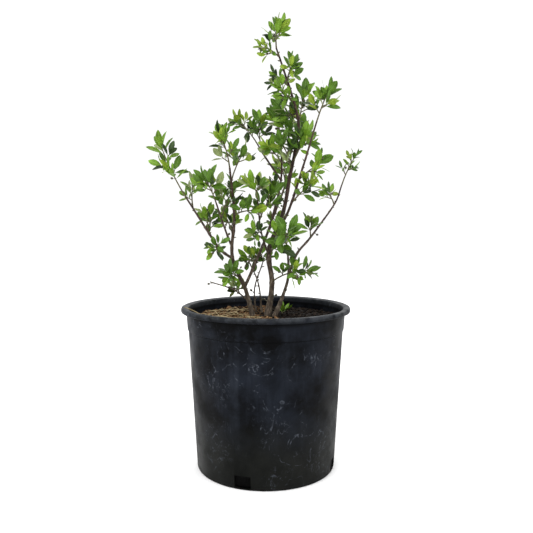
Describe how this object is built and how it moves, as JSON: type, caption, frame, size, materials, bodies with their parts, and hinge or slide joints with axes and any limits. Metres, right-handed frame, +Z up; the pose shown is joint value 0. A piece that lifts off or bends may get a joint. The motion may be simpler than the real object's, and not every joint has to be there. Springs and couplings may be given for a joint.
{
  "type": "potted nanking cherry",
  "caption": "Young nanking cherry shrub with thin leafy stems, standing in a round tapered black nursery pot filled with potting mix.",
  "frame": {"origin": "middle of the pot's flat underside, at the ground", "axes": "+Z up along the pot's axis towards the top shoot, -Y towards the viewer of the picture, +X to the viewer's right"},
  "size_m": [0.3496, 0.2679, 0.7052],
  "materials": {
    "pot_plastic": "matt black, lightly scuffed",
    "potting_mix": "dark moist bark mix",
    "bark": "dull brown bark",
    "leaf": "satin green leaf"
  },
  "bodies": {
    "root": {"pot": "pot_plastic", "soil": "potting_mix", "trunk": "bark", "stem_left": "bark", "stem_crossing": "bark", "stem_leaning": "bark", "stem_right": "bark", "bough_right": "bark", "bough_high_left": "bark", "bough_far_left": "bark", "bough_front_left": "bark", "bough_front": "bark", "bough_back": "bark", "twig_low_left": "bark", "sucker_middle": "bark", "sucker_back": "bark", "leaves_top_shoot": "leaf", "leaves_top_left": "leaf", "leaves_upper_right": "leaf", "leaves_upper_left": "leaf", "leaves_upper_left_low": "leaf", "leaves_hanging_left": "leaf", "leaves_upper_shoot": "leaf", "leaves_centre_back": "leaf", "leaves_centre_right": "leaf", "leaves_centre_left": "leaf", "leaves_centre_low": "leaf", "leaves_crossing_tip": "leaf", "leaves_crossing_middle": "leaf", "leaves_crossing_low": "leaf", "leaves_high_left_tip": "leaf", "leaves_high_left_side": "leaf", "leaves_back_tip": "leaf", "leaves_back_middle": "leaf", "leaves_left_tip": "leaf", "leaves_left_side": "leaf", "leaves_left_middle": "leaf", "leaves_left_inner": "leaf", "leaves_left_base": "leaf", "leaves_fork_left": "leaf", "leaves_front_left_tip": "leaf", "leaves_front_left_side": "leaf", "leaves_far_left_tip": "leaf", "leaves_far_left_spur": "leaf", "leaves_far_left_middle": "leaf", "leaves_far_left_low": "leaf", "leaves_front_tip": "leaf", "leaves_front_side": "leaf", "leaves_front_low": "leaf", "leaves_near": "leaf", "leaves_leaning_low": "leaf", "leaves_leaning_high": "leaf", "leaves_leaning_tip": "leaf", "leaves_right_tip": "leaf", "leaves_right_middle": "leaf", "leaves_right_low": "leaf", "leaves_right_stem_top": "leaf", "leaves_low_right": "leaf", "leaves_low_left": "leaf", "leaves_sucker_tip": "leaf"}
  },
  "joints": []
}
